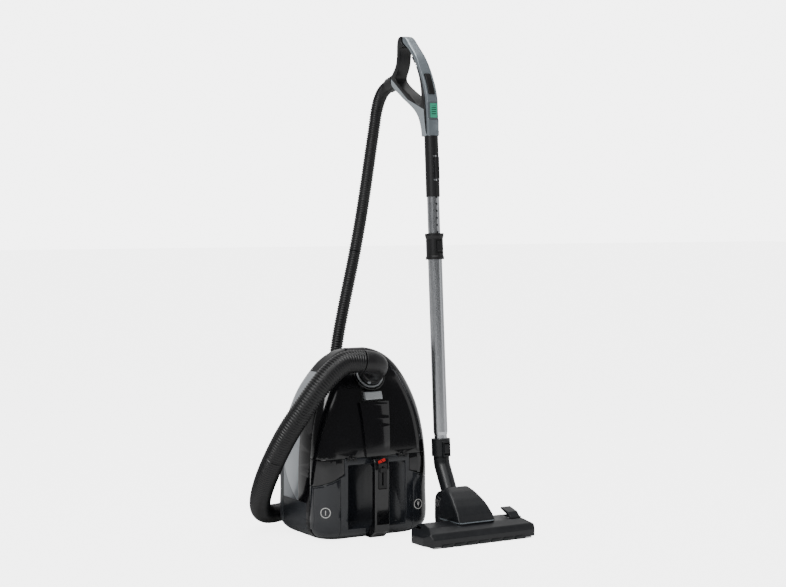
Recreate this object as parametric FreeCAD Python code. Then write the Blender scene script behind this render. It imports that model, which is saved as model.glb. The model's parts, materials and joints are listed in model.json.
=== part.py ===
"""Canister vacuum cleaner parked on its rear end, with hose, telescopic wand, handle and floor nozzle.

Millimetres. The origin is on the floor, in the middle of the canister. +Z is up, the canister's lid
faces -Y, its wheels face +Y, and the wand and nozzle stand beside it on the +X side.
"""
import FreeCAD
import Part
import os
from math import acos, cos, pi, radians, sin, sqrt, tan

V = FreeCAD.Vector
X_AXIS, Y_AXIS, Z_AXIS = V(1, 0, 0), V(0, 1, 0), V(0, 0, 1)
FAR = 600.0                     # larger than the canister, for cutting tools

# ---------------------------------------------------------------- driving dimensions: canister
BODY_HEIGHT = 447.0
BODY_HALF_WIDTH = 155.0
BODY_FRONT = 112.0              # middle plane to the lid's face
BODY_BACK = 116.0               # middle plane to the underside
FRONT_CORNER, BACK_CORNER = 45.0, 34.0
FOOT_ROUND = 38.0               # rounding where the sides meet the rear end
WIDTH_KNEE, FRONT_KNEE, BACK_KNEE = 115.0, 150.0, 165.0      # heights where each side starts to close in
WIDTH_POWER, FRONT_POWER, BACK_POWER = 2.55, 2.0, 1.6
WALL = 2.6
SEAM = 0.8                      # gap between neighbouring covers
FIT = 0.05                      # radial clearance of a shaft in its hole

LID_BOTTOM = 195.0
FRONT_SPLIT = -62.0             # the front covers end here
BAND_DEPTH = 58.0               # dark band between the lid and the side panels
BACK_SPLIT = 72.0               # the chassis starts here
PANEL_BOTTOM, PANEL_TOP = 88.0, 392.0
SEAM_OUTER, SEAM_INNER = 131.0, 156.0    # height of the cover's slanted top edge
COVER_HALF = 89.0               # half width of the cover's raised middle
PEDAL_INNER, PEDAL_OUTER = 99.0, 153.5
PEDAL_BOTTOM, PEDAL_BACK = 9.0, -68.0

RECESS_BOTTOM, RECESS_TOP, RECESS_FLOOR = 26.0, 180.0, -60.0
RECESS_MOUTH_HALF, RECESS_FLOOR_HALF = 82.0, 56.0
GRIP_HALF, GRIP_OUT, GRIP_THICK = 20.0, 137.0, 15.0
TRACK_BOTTOM, TRACK_TOP = 128.0, 175.0   # groove of the power slider

CATCH_HALF, CATCH_BOTTOM, CATCH_TOP = 23.0, 329.0, 347.0
CATCH_OUT, CATCH_DEEP = 8.0, -74.0
SPINE_TOP = 324.0
SPINE_NOTCH = 8.5               # radius cut from the grip, so that the spine can swing past it
HINGE_X, HINGE_RADIUS, HINGE_PIN = 70.0, 2.6, 1.3

INLET = V(0, -75, 388)          # centre of the silver ring
INLET_TILT = 28.0               # how far the inlet looks up, degrees
BOSS_RADIUS, BOSS_LENGTH = 38.0, 40.0
CUFF_RADIUS = 27.4
ELBOW_BEND, ELBOW_REACH, ELBOW_END = 33.0, 30.0, 16.0
ELBOW_LIFT = 8.0                # how far the elbow's end looks up, degrees

WHEEL_RADIUS, WHEEL_WIDTH, WHEEL_X = 42.0, 22.0, 121.0
WHEEL_Y, WHEEL_Z, AXLE_RADIUS = 88.0, 66.0, 5.0
ARCH_HALF, ARCH_RADIUS = WHEEL_WIDTH / 2 + 4, WHEEL_RADIUS + 5
CASTOR_Z, CASTOR_FACE = 318.0, 94.0      # the castor's stem, and the flat end of its boss
CASTOR_RADIUS, CASTOR_WHEEL_Y, CASTOR_TRAIL = 15.0, 115.0, 8.0
FILTER_HALF, FILTER_BOTTOM, FILTER_TOP = 58.0, 62.0, 160.0
FILTER_DEPTH = 31.0
OUTLET_X, OUTLET_Z = 84.0, 150.0
SCREW_PLACES = [(-108.0, 150.0), (108.0, 150.0), (-96.0, 200.0), (96.0, 200.0)]

MOTOR_Y, CASE_RADIUS, DECK_Z = 14.0, 62.0, 189.0
REEL_X, REEL_Y, REEL_Z, REEL_RADIUS = -104.0, -26.0, 74.0, 40.0

# ---------------------------------------------------------------- driving dimensions: wand and handle
WAND_FOOT = V(180, -109, 225)   # where the wand leaves the neck
WAND_LEAN = 3.5                 # degrees towards +Y
OUTER_TUBE_RADIUS, INNER_TUBE_RADIUS = 17.25, 15.0
TUBE_WALL = 1.0
TUBE_SHRINK = 1.7               # the tube's lower end is this much thinner
TUBE_TOP, COLLAR_BOTTOM, COLLAR_TOP = 488.0, 434.0, 497.0
COLLAR_RADIUS = 23.0
INNER_BOTTOM, INNER_TOP = 150.0, 690.0
DETENTS, DETENT_FIRST, DETENT_PITCH = 16, 330.0, 17.0
SLEEVE_BOTTOM, SLEEVE_TOP = 586.0, 733.0
SLEEVE_RADIUS = 17.0
LATCH_BOTTOM, LATCH_TOP = 628.0, 682.0
HANDLE_HALF, SPINE_HALF = 18.0, 15.0     # half widths of the handle's loop and of its front
HANDLE_OUTSIDE = [(-13, 733), (-14, 790), (-11, 828), (2, 870), (18, 902), (40, 937), (70, 970), (93, 990),
                  (109, 989), (120, 956), (133, 915), (152, 893), (152, 879), (133, 860), (88, 829),
                  (31, 783), (20, 756), (17, 733)]
HANDLE_WINDOW = [(14, 822), (15, 856), (30, 900), (57, 938), (85, 962), (99, 962), (108, 938), (120, 907),
                 (130, 888), (120, 876), (86, 853), (45, 824), (24, 812)]
SPINE_BACK = [(-3, 733), (-3, 790), (0, 828), (12, 868), (27, 898), (48, 929), (77, 958), (99, 974)]
PAD_FRONT = [(-9.4, 835), (-3.2, 855), (4.6, 876), (9.4, 886)]
PAD_HALF, PAD_PROUD, PAD_DEEP = 8.4, 2.5, 6.0
DISPLAY_HALF, DISPLAY_BOTTOM, DISPLAY_TOP = 12.8, 774.0, 815.0
CUFF_AT, CUFF_AXIS = V(0, 148, 888), V(0, 0.98, -0.2)
CUFF_OUTER, CUFF_STUB, CUFF_BORE = 19.0, 12.0, 9.0

# ---------------------------------------------------------------- driving dimensions: neck and nozzle
NECK_RADIUS, NECK_LENGTH = 23.0, 43.0
NECK_KNEE = [(-114, 163), (-132, 131)]   # corners of the neck's bend, as (y, z)
PIPE_RADIUS = 19.5
PIVOT_Y, PIVOT_Z, PIVOT_RADIUS = -160.0, 78.0, 9.0
BARREL_RADIUS, BARREL_HALF = 28.0, 32.0
YOKE_INNER, YOKE_OUTER = 34.0, 41.5
HUMP_SIDE, HUMP_TOP_SIDE = 50.0, 27.0
HUMP_PROFILE = [(-268, 40), (-268, 48), (-260, 63), (-244, 80), (-225, 95), (-202, 109), (-178, 118),
                (-172, 116), (-172, 40)]
NOZZLE_HALF = 154.0
NOZZLE_FRONT, NOZZLE_BACK = -300.0, -208.0
NOZZLE_HEIGHT = 48.0
NOZZLE_WHEEL_RADIUS = 14.0
PEDAL_AT, PEDAL_HALF = 115.0, 14.0

# ---------------------------------------------------------------- the hose's route, chosen by hand
HOSE_ROUTE = [
    (-48.8, -127.4, 423.6), (-84.2, -125, 428), (-126, -131, 410), (-168, -133, 372), (-201, -121, 322),
    (-227, -94, 268), (-240, -59, 212), (-243, -16, 157), (-236, 32, 105), (-215, 83, 63),
    (-179, 130, 37), (-133, 166, 27), (-84, 188, 29), (-38, 199, 46), (-3, 203, 80),
    (19, 201, 127), (31, 195, 186), (37, 188, 262), (42, 182, 345), (52, 180, 440),
    (77, 183, 545), (105, 189, 646), (131, 196, 748), (153, 203, 850), (169, 207, 935),
    (178, 206, 990), (180, 199, 1030), (180, 183, 1062), (180, 158.6, 1084.6), (180, 129.9, 1092.4)]
HOSE_DIAMETERS = (54.0, 42.0, 33.0)
HOSE_SPLITS = (9, 17)           # the run on which each diameter gives way to the next


# ================================================================ helpers
def save(name, *solids):
    """Write one node; several solids become a group."""
    shape = solids[0] if len(solids) == 1 else Part.makeCompound(list(solids))
    for solid in shape.Solids:
        if not solid.isValid():
            print("not valid:", name)
    if not shape.Solids:
        print("no solid:", name)
    shape.exportStep("parts/%s.step" % name)
    NODES.append(name)
    return shape


def box(x, y, z):
    """A box between two limits on each axis."""
    return Part.makeBox(x[1] - x[0], y[1] - y[0], z[1] - z[0], V(x[0], y[0], z[0]))


def rod(start, axis, radius, length):
    return Part.makeCylinder(radius, length, V(*start), V(*axis))


def tube(start, axis, outer, inner, length):
    return rod(start, axis, outer, length).cut(rod(start, axis, inner, length))


def prism(outline, plane, low, high):
    """Extrude an outline, given in plane XZ, YZ or XY, between two limits on the third axis."""
    place = {"XZ": lambda a, b: V(a, low, b), "YZ": lambda a, b: V(low, a, b),
             "XY": lambda a, b: V(a, b, low)}[plane]
    push = {"XZ": Y_AXIS, "YZ": X_AXIS, "XY": Z_AXIS}[plane] * (high - low)
    points = [place(a, b) for a, b in outline]
    return Part.Face(Part.makePolygon(points + points[:1])).extrude(push)


def loop_face(points, x):
    """A closed smooth face in the plane X = x through (y, z) points."""
    curve = Part.BSplineCurve()
    curve.interpolate([V(x, y, z) for y, z in points], PeriodicFlag=True)
    return Part.Face(Part.Wire(curve.toShape()))


def mirrored(shape):
    return shape.mirror(V(0, 0, 0), X_AXIS)


def one(shape):
    """The single solid of a boolean's result."""
    return max(shape.Solids, key=lambda s: s.Volume)


# ================================================================ canister shell
def closing(z, knee, power):
    """1 below the knee, falling to 0 at the top along a superellipse."""
    rise = min(max(0.0, (z - knee) / (BODY_HEIGHT - knee)), 0.9985)
    return (1 - rise ** power) ** (1 / power)


def body_section(z, grow):
    """Rounded rectangle of the canister at height z, offset outwards by grow."""
    foot = 0.0 if z >= FOOT_ROUND else FOOT_ROUND - sqrt(FOOT_ROUND ** 2 - (FOOT_ROUND - z) ** 2)
    half = max(3.0, BODY_HALF_WIDTH * closing(z, WIDTH_KNEE, WIDTH_POWER) - foot + grow)
    front = max(3.0, BODY_FRONT * closing(z, FRONT_KNEE, FRONT_POWER) - foot + grow)
    back = max(3.0, BODY_BACK * closing(z, BACK_KNEE, BACK_POWER) - foot + grow)
    radius_front = min(FRONT_CORNER, 0.6 * front, 0.6 * half)
    radius_back = min(BACK_CORNER, 0.6 * back, 0.6 * half)
    height = z * (BODY_HEIGHT + 2 * grow) / BODY_HEIGHT - grow
    corners = [(half, -front, radius_front, -45), (half, back, radius_back, 45),
               (-half, back, radius_back, 135), (-half, -front, radius_front, 225)]
    edges, last = [], None
    for x, y, radius, middle in corners:
        cx, cy = x - radius * (1 if x > 0 else -1), y - radius * (1 if y > 0 else -1)
        a, b, c = (V(cx + radius * cos(radians(middle + t)), cy + radius * sin(radians(middle + t)), height)
                   for t in (-45, 0, 45))
        if last is None:
            first = a
        else:
            edges.append(Part.LineSegment(last, a).toShape())
        edges.append(Part.Arc(a, b, c).toShape())
        last = c
    edges.append(Part.LineSegment(last, first).toShape())
    return Part.Wire(edges)


def hull(grow):
    """The canister's outer form, offset outwards by grow."""
    top = BODY_HEIGHT
    heights = [0, 4, 12, 24, FOOT_ROUND, 90, 150, 210, 265, 315, 355, 388, 414, 432, top - 6, top - 1.5]
    return Part.makeLoft([body_section(z, grow) for z in heights], True, False)


def front_of(y):
    return box((-FAR, FAR), (-FAR, y), (-FAR, FAR))


def recess(grow):
    """The hand recess in the rear cover: a tapering pocket, offset by grow."""
    rings = []
    for half, y, step in ((RECESS_MOUTH_HALF, -BODY_FRONT - 6, 0), (RECESS_FLOOR_HALF, RECESS_FLOOR + grow, 8)):
        x, low, high = half + grow, RECESS_BOTTOM + step - grow, RECESS_TOP - step + grow
        corners = [V(-x, y, low), V(x, y, low), V(x, y, high), V(-x, y, high)]
        rings.append(Part.makePolygon(corners + corners[:1]))
    return Part.makeLoft(rings, True, True)


def cover_outline(gap):
    """Front view of the rear cover, with the slanted shoulders above the pedals."""
    edge = BODY_HALF_WIDTH + 30
    side = [(edge, -10), (edge, SEAM_OUTER - gap), (BODY_HALF_WIDTH, SEAM_OUTER - gap),
            (COVER_HALF - gap, SEAM_INNER - gap), (COVER_HALF - gap, LID_BOTTOM + 10)]
    return side + [(-x, z) for x, z in reversed(side)]


def pedal_outline(gap):
    slope = (SEAM_INNER - SEAM_OUTER) / (BODY_HALF_WIDTH - COVER_HALF)
    inner_x, outer_x, low = PEDAL_INNER + gap, PEDAL_OUTER - gap, PEDAL_BOTTOM + gap
    inner_z, outer_z = (SEAM_INNER - slope * (x - COVER_HALF) - SEAM / 2 - 3 - gap for x in (inner_x, outer_x))
    return [(inner_x, low), (outer_x, low), (outer_x, outer_z), (inner_x, inner_z)]


def canister_covers():
    """Cut the outer shell into lid, rear cover, pedals, corner covers, frame and side panels."""
    shell = hull(0).cut(hull(-WALL))
    half_gap = SEAM / 2
    front = shell.common(front_of(FRONT_SPLIT - half_gap))
    lid = front.common(box((-FAR, FAR), (-FAR, FAR), (LID_BOTTOM + half_gap, FAR)))
    lower = front.common(box((-FAR, FAR), (-FAR, FAR), (-FAR, LID_BOTTOM - half_gap)))

    cover = lower.common(prism(cover_outline(half_gap), "XZ", -FAR, FAR))
    corners = lower.cut(prism(cover_outline(-half_gap), "XZ", -FAR, FAR))
    pedal_hole = prism(pedal_outline(0), "XZ", -FAR, FRONT_SPLIT)
    pedal = one(cover.common(prism(pedal_outline(half_gap), "XZ", -FAR, PEDAL_BACK)))
    cover = cover.cut(pedal_hole).cut(mirrored(pedal_hole))
    tray = recess(WALL).common(hull(0))
    cover = cover.fuse(tray).cut(recess(0))
    for centre in (-HINGE_X, HINGE_X):
        cover = cover.cut(hinge_rod(centre - 6.4, HINGE_RADIUS + 0.4, 12.8))
    save("rear_cover", one(cover))
    save("power_pedal", one(mirrored(pedal)))
    save("rewind_pedal", pedal)
    sides = [max((s for s in corners.Solids if s.CenterOfMass.x * side > 0), key=lambda s: s.Volume)
             for side in (-1, 1)]
    save("corner_covers", *sides)

    middle = shell.common(box((-FAR, FAR), (FRONT_SPLIT + half_gap, BACK_SPLIT - half_gap), (-FAR, FAR)))
    panel_front = FRONT_SPLIT + BAND_DEPTH
    panel_zone = box((BODY_HALF_WIDTH / 2, FAR), (panel_front, BACK_SPLIT), (PANEL_BOTTOM, PANEL_TOP))
    panel_cut = box((BODY_HALF_WIDTH / 2, FAR), (panel_front + half_gap, BACK_SPLIT),
                    (PANEL_BOTTOM + half_gap, PANEL_TOP - half_gap))
    panel = one(middle.common(panel_cut))
    inlet_room = rod(INLET - inlet_axis() * 60, inlet_axis(), BOSS_RADIUS + 4, 160)
    save("mid_frame", one(middle.cut(panel_zone).cut(mirrored(panel_zone)).cut(inlet_room)))
    save("side_panels", panel, one(mirrored(panel)))

    base = shell.common(box((-FAR, FAR), (BACK_SPLIT + half_gap, FAR), (-FAR, FAR)))
    return lid, base


def back_at(z):
    """Y of the underside's surface at height z."""
    return BODY_BACK * closing(z, BACK_KNEE, BACK_POWER)


def chassis(base):
    """Underside shell with wheel arches, castor boss, filter tray and cord outlet."""
    keep = box((-FAR, FAR), (BACK_SPLIT + SEAM / 2, FAR), (-FAR, FAR)).common(hull(-WALL / 2))
    for side in (-1, 1):
        start = (side * WHEEL_X - ARCH_HALF, WHEEL_Y, WHEEL_Z)
        base = base.cut(rod(start, (1, 0, 0), ARCH_RADIUS, 2 * ARCH_HALF))
        arch = tube(start, (1, 0, 0), ARCH_RADIUS + WALL, ARCH_RADIUS, 2 * ARCH_HALF)
        cheek_x = start[0] - WALL if side > 0 else start[0] + 2 * ARCH_HALF
        cheek = rod((cheek_x, WHEEL_Y, WHEEL_Z), (1, 0, 0), ARCH_RADIUS + WALL, WALL)
        cheek = cheek.cut(rod((cheek_x, WHEEL_Y, WHEEL_Z), (1, 0, 0), AXLE_RADIUS, WALL))
        base = base.fuse(arch.fuse(cheek).common(keep))

    filter_back = BODY_BACK - WALL
    base = base.cut(box((-FILTER_HALF, FILTER_HALF), (filter_back - 1, FAR), (FILTER_BOTTOM, FILTER_TOP)))
    around = box((-FILTER_HALF - WALL, FILTER_HALF + WALL), (filter_back - FILTER_DEPTH - WALL, filter_back + 1),
                 (FILTER_BOTTOM - WALL, FILTER_TOP + WALL))
    around = around.cut(box((-FILTER_HALF, FILTER_HALF), (filter_back - FILTER_DEPTH, FAR),
                            (FILTER_BOTTOM, FILTER_TOP)))
    around = around.cut(box((-46, 46), (0, FAR), (FILTER_BOTTOM + 12, FILTER_TOP - 12)))
    base = base.fuse(around)

    boss = rod((0, 60, CASTOR_Z), (0, 1, 0), 19, CASTOR_FACE - 60)
    base = base.fuse(boss.common(box((-FAR, FAR), (BACK_SPLIT + SEAM / 2, FAR), (-FAR, FAR))))
    base = base.cut(rod((0, 60, CASTOR_Z), (0, 1, 0), 3.0 + FIT, 60))
    base = base.cut(rod((OUTLET_X, BACK_SPLIT, OUTLET_Z), (0, 1, 0), 9.0, 60))

    screws = []
    for x, z in SCREW_PLACES:
        face = back_at(z) - 0.9
        head = rod((x, face, z), (0, 1, 0), 4.5, 2.2)
        slot = box((x - 3, x + 3), (face + 1.2, face + 3), (z - 0.6, z + 0.6))
        screw = one(head.cut(slot).fuse(rod((x, face - 15, z), (0, 1, 0), 2.0, 15)))
        base = base.cut(screw).cut(rod((x, face, z), (0, 1, 0), 4.5, 10))
        screws.append(screw)
    save("base_shell", one(base))
    save("housing_screws", *screws)

    axle = rod((WHEEL_X - ARCH_HALF - WALL - 6, WHEEL_Y, WHEEL_Z), (1, 0, 0), AXLE_RADIUS - FIT,
               2 * ARCH_HALF + WALL + 6)
    spindle = rod((REEL_X, REEL_Y - 4, REEL_Z), (0, 1, 0), 6, 86)
    save("axles", axle, mirrored(axle), spindle)


def underside():
    """Rear wheels, castor, exhaust filter with its cover, and the cord outlet."""
    hub = WHEEL_WIDTH / 2
    for side, name in ((-1, "left"), (1, "right")):
        x = side * WHEEL_X
        wheel = rod((x - hub, WHEEL_Y, WHEEL_Z), (1, 0, 0), WHEEL_RADIUS, WHEEL_WIDTH)
        rim = [e for e in wheel.Edges if abs(e.Length - 2 * pi * WHEEL_RADIUS) < 1]
        wheel = wheel.makeFillet(4, rim)
        wheel = wheel.cut(tube((x + side * (hub - 3), WHEEL_Y, WHEEL_Z), (side, 0, 0), 32, 12, 4))
        wheel = wheel.cut(rod((x - 20, WHEEL_Y, WHEEL_Z), (1, 0, 0), AXLE_RADIUS, 40))
        save("rear_wheel_" + name, one(wheel))

    wheel_z = CASTOR_Z - CASTOR_TRAIL
    stem = rod((0, CASTOR_FACE - 20, CASTOR_Z), (0, 1, 0), 3.0, 22)
    crown = rod((0, CASTOR_FACE + 0.4, CASTOR_Z), (0, 1, 0), 16, 4)
    cheeks = box((-10, 10), (CASTOR_FACE + 0.4, CASTOR_WHEEL_Y + 4), (wheel_z - 5, CASTOR_Z + 8))
    cheeks = cheeks.cut(box((-6.5, 6.5), (CASTOR_FACE + 4.4, FAR), (-FAR, FAR)))
    cheeks = cheeks.cut(rod((0, CASTOR_WHEEL_Y, wheel_z), (1, 0, 0), 2.0, 20))
    pin = rod((-9.9, CASTOR_WHEEL_Y, wheel_z), (1, 0, 0), 2.0, 19.8)
    save("castor_fork", one(stem.fuse([crown, cheeks, pin])))
    roller = rod((-5.5, CASTOR_WHEEL_Y, wheel_z), (1, 0, 0), CASTOR_RADIUS, 11)
    roller = roller.makeFillet(2, [e for e in roller.Edges if abs(e.Length - 2 * pi * CASTOR_RADIUS) < 1])
    save("castor_wheel", roller.cut(rod((-10, CASTOR_WHEEL_Y, wheel_z), (1, 0, 0), 2.0 + FIT, 20)))

    filter_back = BODY_BACK - WALL
    flap = box((-FILTER_HALF + SEAM, FILTER_HALF - SEAM), (filter_back, BODY_BACK),
               (FILTER_BOTTOM + SEAM, FILTER_TOP - SEAM))
    for k in range(8):
        z = FILTER_BOTTOM + 14 + k * 9
        flap = flap.cut(box((-44, 44), (filter_back - 1, BODY_BACK + 1), (z, z + 4)))
    save("filter_cover", flap)
    save("exhaust_filter", box((-54, 54), (filter_back - FILTER_DEPTH, filter_back - 0.6),
                               (FILTER_BOTTOM + 4, FILTER_TOP - 4)))
    outlet = tube((OUTLET_X, BODY_BACK - 12, OUTLET_Z), (0, 1, 0), 8.95, 4.5, 12)
    save("cord_outlet", outlet.fuse(tube((OUTLET_X, BODY_BACK, OUTLET_Z), (0, 1, 0), 11.5, 4.5, 2)))


# ================================================================ carrying grip over its recess
def grip():
    out, inside = -GRIP_OUT, -GRIP_OUT + GRIP_THICK
    top, bottom = LID_BOTTOM - 3.5, 2.0
    outline = [(-86, bottom), (-112, bottom), (out + 4, bottom + 16), (out, bottom + 34), (out, top - 26),
               (out + 2, top - 8), (out + 8, top), (-104, top), (-104, RECESS_TOP + 0.6),
               (inside, RECESS_TOP - 8), (inside, RECESS_BOTTOM + 14), (-106, RECESS_BOTTOM - 0.6),
               (-86, RECESS_BOTTOM - 0.6)]
    strip = prism(outline, "YZ", -GRIP_HALF, GRIP_HALF)
    rails = [e for e in strip.Edges if abs(e.tangentAt(e.FirstParameter).x) < 1e-6
             and e.CenterOfMass.y < out + 1.5 and abs(e.CenterOfMass.x) > GRIP_HALF - 0.1]
    strip = strip.makeFillet(4, rails).cut(hull(0.05))
    strip = strip.cut(hinge_rod(-GRIP_HALF - 1, SPINE_NOTCH, 2 * GRIP_HALF + 2))
    groove = (TRACK_BOTTOM, TRACK_TOP)
    strip = strip.cut(box((-11.5, 11.5), (-FAR, out + 1.6), (TRACK_BOTTOM - 6, TRACK_TOP + 6)))
    save("carry_handle", one(strip.cut(box((-2.2, 2.2), (-FAR, out + 5.5), groove))))
    panel = box((-11.4, 11.4), (out - 0.6, out + 1.5), (TRACK_BOTTOM - 5.9, TRACK_TOP + 5.9))
    panel = panel.makeFillet(1.5, [e for e in panel.Edges if abs(e.tangentAt(0).y) > 0.9])
    save("handle_panel", panel.cut(box((-2.2, 2.2), (-FAR, FAR), groove)))
    knob = box((-8, 8), (out - 4.6, out - 1.0), (160, 171))
    knob = knob.makeFillet(1.2, [e for e in knob.Edges if e.CenterOfMass.y < out - 4])
    save("power_slider", one(knob.fuse(box((-1.7, 1.7), (out - 1.2, out + 4.6), (162, 169)))))


# ================================================================ lid, inlet and elbow
def inlet_axis():
    tilt = radians(INLET_TILT)
    return V(0, -cos(tilt), sin(tilt))


def hinge_rod(x, radius, length):
    return rod((x, -(BODY_FRONT + 0.6), LID_BOTTOM), (1, 0, 0), radius, length)


def lid_group(lid):
    out = inlet_axis()
    catch_room = box((-CATCH_HALF - 0.5, CATCH_HALF + 0.5), (-FAR, CATCH_DEEP + 4),
                     (CATCH_BOTTOM - 0.6, CATCH_TOP + 0.6))
    lid = lid.cut(rod(INLET - out * 60, out, BOSS_RADIUS - 1, 120)).cut(catch_room)
    hinge_y = -(BODY_FRONT + 0.6)
    pins = []
    for centre in (-HINGE_X, HINGE_X):
        for ear in (centre - 12.5, centre + 6.5):
            lid = lid.cut(hinge_rod(ear - 0.4, HINGE_RADIUS + 0.4, 6.8))
        leaf = hinge_rod(centre - 6, HINGE_RADIUS, 12)
        leaf = leaf.fuse(box((centre - 6, centre + 6), (hinge_y + 1.2, hinge_y + 3.0),
                             (LID_BOTTOM + 1.4, LID_BOTTOM + 7)))
        lid = lid.fuse(leaf.cut(hinge_rod(centre - 8, HINGE_PIN + FIT, 16)))
        pin = hinge_rod(centre - 13, HINGE_PIN, 26)
        for ear in (centre - 12.5, centre + 6.5):
            pin = pin.fuse(hinge_rod(ear, HINGE_RADIUS, 6))
            pin = pin.fuse(box((ear, ear + 6), (hinge_y, hinge_y + 3.0), (LID_BOTTOM - 6, LID_BOTTOM)))
        pins.append(one(pin.cut(hull(0.0))))
    save("lid", one(lid))
    save("lid_hinges", *pins)

    boss = rod(INLET - out * BOSS_LENGTH, out, BOSS_RADIUS - 1.1, BOSS_LENGTH)
    flange = one(rod(INLET - out * 22, out, BOSS_RADIUS + 3, 22).cut(hull(0.05)))
    boss = boss.fuse(flange).cut(rod(INLET - out * 60, out, CUFF_RADIUS + 2.6, 120))
    boss = boss.cut(tube(INLET - out * 2.5, out, 35.0, 31.0, 3))
    save("inlet_boss", one(boss.cut(catch_room)))
    save("inlet_ring", tube(INLET - out * 2.4, out, 34.9, 31.1, 3.4))

    side = [(32, LID_BOTTOM + SEAM), (34, 240), (38, 300), (40, SPINE_TOP)]
    spine = hull(7).common(prism(side + [(-x, z) for x, z in reversed(side)], "XZ", -FAR, -40))
    save("lid_spine", one(spine.cut(hull(0.05))))
    catch = box((-CATCH_HALF, CATCH_HALF), (-FAR, CATCH_DEEP), (CATCH_BOTTOM, CATCH_TOP))
    save("lid_catch", one(catch.common(hull(CATCH_OUT))))

    start, bend = INLET - out * 26, INLET + out * ELBOW_REACH
    lift, up = radians(ELBOW_LIFT), V(0, -out.z, out.y) * -1
    aside = X_AXIS * -cos(lift) + up * sin(lift)
    centre = bend + aside * ELBOW_BEND
    after = centre + out * ELBOW_BEND
    middle = centre + (out - aside).normalize() * ELBOW_BEND
    path = Part.Wire([Part.LineSegment(start, bend).toShape(), Part.Arc(bend, middle, after).toShape(),
                      Part.LineSegment(after, after + aside * ELBOW_END).toShape()])
    solid, bore = (path.makePipeShell([Part.Wire(Part.makeCircle(r, start, out))], True, True)
                   for r in (CUFF_RADIUS - 0.2, CUFF_RADIUS - 3.2))
    collar = tube(INLET + out * 3.4, out, CUFF_RADIUS + 2.2, CUFF_RADIUS - 3.2, 14)
    push = V(-0.45, -0.42, -0.79)
    push = (push - out * push.dot(out)).normalize()
    at = INLET + out * 11
    elbow = solid.cut(bore).fuse(collar).cut(rod(at + push * (CUFF_RADIUS - 2.6), push, 4.6, 8))
    save("hose_elbow", one(elbow))
    save("elbow_button", rod(at + push * (CUFF_RADIUS - 1.0), push, 4.2, 4.6))
    print("hose starts at", after + aside * ELBOW_END, "towards", aside, "elbow button axis", push)


# ================================================================ works inside the canister
def upright(z, radius, length):
    return rod((0, MOTOR_Y, z), (0, 0, 1), radius, length)


def ring(z, outer, inner, length):
    return tube((0, MOTOR_Y, z), (0, 0, 1), outer, inner, length)


def works():
    inside = hull(-WALL - 0.3)
    deck = box((-FAR, FAR), (-54, 66), (DECK_Z, DECK_Z + 3)).common(inside).cut(upright(0, 38, 300))
    case = ring(52, CASE_RADIUS, CASE_RADIUS - 2.5, DECK_Z - 52).fuse(upright(49.5, CASE_RADIUS, 2.5))
    case = case.cut(box((-20, 20), (50, 90), (66, 110)))
    save("motor_housing", one(case.fuse(deck)))
    can = upright(60, 44, 70).fuse(upright(130, 56, 6))
    save("motor", one(can.cut(upright(60, 5.0 + FIT, 90))))
    save("motor_seals", ring(52, 40, 20, 8), ring(172, 54, 38.5, DECK_Z - 172))
    fan = upright(142, 50, 2).fuse(ring(156, 50, 22, 2))
    for k in range(9):
        blade = box((12, 49), (MOTOR_Y - 0.8, MOTOR_Y + 0.8), (143, 157))
        blade.rotate(V(0, MOTOR_Y, 0), Z_AXIS, k * 40)
        fan = fan.fuse(blade)
    save("impeller", one(fan.cut(upright(100, 4.0, 80))))
    save("motor_shaft", one(upright(62, 5.0, 70).fuse(upright(132, 4.0, 28))))
    save("motor_filter", box((-52, 52), (-38, 66), (DECK_Z + 3, DECK_Z + 15)).common(inside))

    bag = box((-96, 96), (-44, 60), (DECK_Z + 18, 356)).common(hull(-16))
    save("dust_bag", one(bag.fuse(box((-44, 44), (-49, -44), (DECK_Z + 26, 324)))))
    flange_y = (REEL_Y, REEL_Y + 49)
    reel = tube((REEL_X, REEL_Y, REEL_Z), (0, 1, 0), 26, 6 + FIT, 52)
    for y in flange_y:
        reel = reel.fuse(tube((REEL_X, y, REEL_Z), (0, 1, 0), REEL_RADIUS, 24, 3))
    save("cord_reel", one(reel))
    board = box((70, 140), (-50, -48), (30, 100))
    for x, z, w in ((84, 46, 12), (104, 70, 16), (122, 50, 10)):
        board = board.fuse(box((x - w / 2, x + w / 2), (-48, -40), (z - w / 2, z + w / 2)))
    save("control_board", board)


# ================================================================ wand and handle, in their own frame
def on_wand(shape):
    """Move a shape built round the wand's own axis (z along it, y backwards) to the leaning wand."""
    placed = shape.copy()
    placed.Placement = FreeCAD.Placement(WAND_FOOT, FreeCAD.Rotation(X_AXIS, -WAND_LEAN))
    return placed


def wand_point(x, y, z):
    return FreeCAD.Placement(WAND_FOOT, FreeCAD.Rotation(X_AXIS, -WAND_LEAN)).multVec(V(x, y, z))


def save_on_wand(name, *solids):
    save(name, *[on_wand(one(s)) for s in solids])


def turned(outline):
    """Revolve an outline of (radius, z) points about the wand's axis."""
    points = [V(r, 0, z) for r, z in outline]
    return Part.Face(Part.makePolygon(points + points[:1])).revolve(V(0, 0, 0), Z_AXIS, 360)


def rounded_block(x, y, z, radius):
    """A block whose front (lowest y) edges are rounded."""
    block = box(x, y, z)
    return block.makeFillet(radius, [e for e in block.Edges if e.CenterOfMass.y < y[0] + 0.1])


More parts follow.
